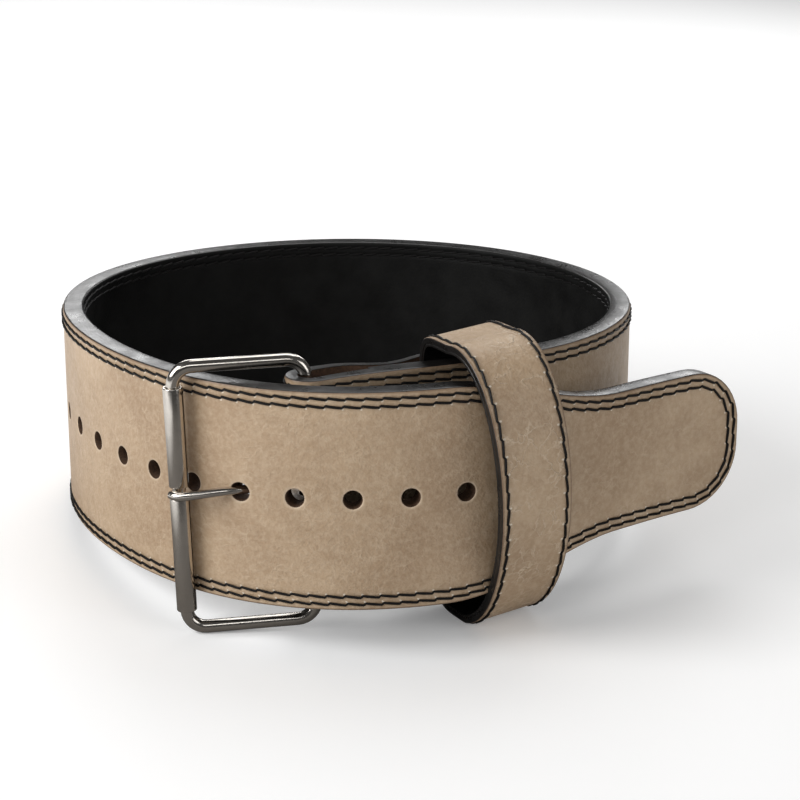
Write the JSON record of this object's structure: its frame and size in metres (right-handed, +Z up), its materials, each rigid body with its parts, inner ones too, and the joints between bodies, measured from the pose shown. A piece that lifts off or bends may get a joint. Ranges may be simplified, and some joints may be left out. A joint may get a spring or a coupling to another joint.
{
  "type": "weightlifting belt",
  "caption": "Wide stiff leather waist belt with a black lining, closed by a roller buckle whose prong passes through a row of round holes, its tapered tail held by a loose keeper loop",
  "frame": {"origin": "middle of the bounding box in plan, on the floor that the closed belt rests on", "axes": "+Z up from the floor, through the hollow for the waist; +X across the belt, from the wearer's one side to the other, with the tail's tip on the +X side; -Y is the front, where the buckle and the keeper are; +Y is the back"},
  "size_m": [0.3268, 0.292, 0.1378],
  "materials": {
    "tan_leather": "vegetable-tanned tan leather, satin, lightly mottled",
    "black_leather": "black split leather, matt",
    "nickelled_steel": "bright nickel plating"
  },
  "bodies": {
    "root": {"belt_strap": "tan_leather", "belt_lining": "black_leather", "buckle_prong": "nickelled_steel", "buckle_frame": "nickelled_steel", "buckle_roller_upper": "nickelled_steel", "buckle_roller_lower": "nickelled_steel", "keeper_band": "tan_leather", "keeper_lining": "black_leather"}
  },
  "joints": []
}
